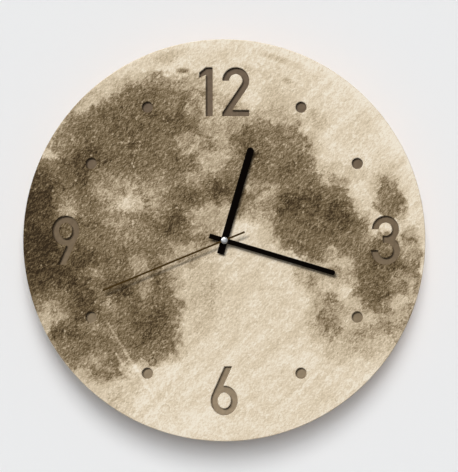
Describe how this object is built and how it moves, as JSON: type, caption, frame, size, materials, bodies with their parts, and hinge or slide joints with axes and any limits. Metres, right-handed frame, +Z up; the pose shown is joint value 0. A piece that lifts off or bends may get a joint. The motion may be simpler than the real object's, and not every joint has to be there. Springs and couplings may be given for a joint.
{
  "type": "led wall clock",
  "caption": "Round wall clock: printed wooden disc with cut-through hour figures over a lit box, bar hands on a geared quartz movement, keyhole slot behind.",
  "frame": {"origin": "where the nail carries the keyhole slot, on the plane of the wall; the hand axis lies 84 mm below it", "axes": "+Z up, +X to the right of the dial as it is read, +Y into the wall; the dial faces -Y"},
  "size_m": [0.3, 0.0392, 0.3],
  "materials": {
    "printed_board": "printed, satin",
    "tinted_acrylic": "satin, tinted opal",
    "fibreboard": "raw board",
    "zinc_steel": "zinc plated",
    "white_plastic": "moulded",
    "red_lead": "satin",
    "black_lead": "satin",
    "black_plastic": "moulded, fine grain",
    "cell_jacket": "plain printed sleeve",
    "brass": "turned",
    "copper_wire": "enamelled winding",
    "circuit_board": "solder mask",
    "black_paint": "black satin paint",
    "bright_aluminium": "bright turned"
  },
  "bodies": {
    "clock": {"dial_panel": "printed_board", "six_counter": "printed_board", "nine_counter": "printed_board", "diffuser": "tinted_acrylic", "spacer_ring": "fibreboard", "back_panel": "fibreboard", "back_screw_1": "zinc_steel", "back_screw_2": "zinc_steel", "back_screw_3": "zinc_steel", "back_screw_4": "zinc_steel", "back_screw_5": "zinc_steel", "back_screw_6": "zinc_steel", "led_strip": "white_plastic", "lead_red": "red_lead", "lead_black": "black_lead", "battery_box": "black_plastic", "led_cell_1": "cell_jacket", "led_cell_2": "cell_jacket", "led_cell_3": "cell_jacket", "box_contact_plus": "zinc_steel", "box_contact_minus": "zinc_steel", "box_link_left": "zinc_steel", "box_link_right": "zinc_steel", "switch_body": "zinc_steel", "movement_bracket": "black_plastic", "movement_case": "black_plastic", "movement_cover": "black_plastic", "centre_bushing": "brass", "clock_cell": "cell_jacket", "clock_contact_plus": "zinc_steel", "clock_contact_minus": "zinc_steel", "stator": "zinc_steel", "coil": "copper_wire", "circuit_board": "circuit_board", "quartz_crystal": "zinc_steel"},
    "seconds": {"second_hand": "black_paint", "second_cap": "bright_aluminium", "seconds_wheel": "white_plastic"},
    "minutes": {"minute_hand": "black_paint", "cannon_pinion": "white_plastic", "centre_wheel": "white_plastic"},
    "hours": {"hour_hand": "black_paint", "hour_wheel": "white_plastic"},
    "third": {"third_wheel": "white_plastic"},
    "intermediate": {"intermediate_wheel": "white_plastic"},
    "motor_rotor": {"rotor": "zinc_steel"},
    "setting": {"motion_wheel": "white_plastic", "set_knob": "black_plastic"},
    "light_switch": {"switch_slider": "white_plastic"},
    "door": {"battery_door": "black_plastic"}
  },
  "joints": [
    {"name": "second_spin", "type": "hinge", "parent": "clock", "child": "seconds", "pos_m": [0, 0, -0.084], "axis": [0, 1, 0], "continuous": true},
    {"name": "minute_spin", "type": "hinge", "parent": "clock", "child": "minutes", "pos_m": [0, 0, -0.084], "axis": [0, 1, 0], "continuous": true},
    {"name": "hour_spin", "type": "hinge", "parent": "clock", "child": "hours", "pos_m": [0, 0, -0.084], "axis": [0, 1, 0], "continuous": true},
    {"name": "third_spin", "type": "hinge", "parent": "clock", "child": "third", "pos_m": [-0.00779, 0, -0.0795], "axis": [0, 1, 0], "continuous": true},
    {"name": "intermediate_spin", "type": "hinge", "parent": "clock", "child": "intermediate", "pos_m": [0.00465, 0, -0.07595], "axis": [0, 1, 0], "continuous": true},
    {"name": "rotor_spin", "type": "hinge", "parent": "clock", "child": "motor_rotor", "pos_m": [0.00465, 0, -0.06805], "axis": [0, 1, 0], "continuous": true},
    {"name": "setting_spin", "type": "hinge", "parent": "clock", "child": "setting", "pos_m": [0.0096, 0, -0.084], "axis": [0, 1, 0], "continuous": true},
    {"name": "switch_slide", "type": "slide", "parent": "clock", "child": "light_switch", "axis": [0, 0, 1], "range_m": [0, 0.003]},
    {"name": "door_lift", "type": "slide", "parent": "clock", "child": "door", "axis": [0, 1, 0], "range_m": [0, 0.03]}
  ],
  "couplings": [
    {"joint": "minute_spin", "follows": "second_spin", "ratio": 0.016667},
    {"joint": "hour_spin", "follows": "second_spin", "ratio": 0.0013889},
    {"joint": "third_spin", "follows": "second_spin", "ratio": -0.13333},
    {"joint": "intermediate_spin", "follows": "second_spin", "ratio": -5},
    {"joint": "rotor_spin", "follows": "second_spin", "ratio": 30},
    {"joint": "setting_spin", "follows": "second_spin", "ratio": -0.0055556}
  ]
}
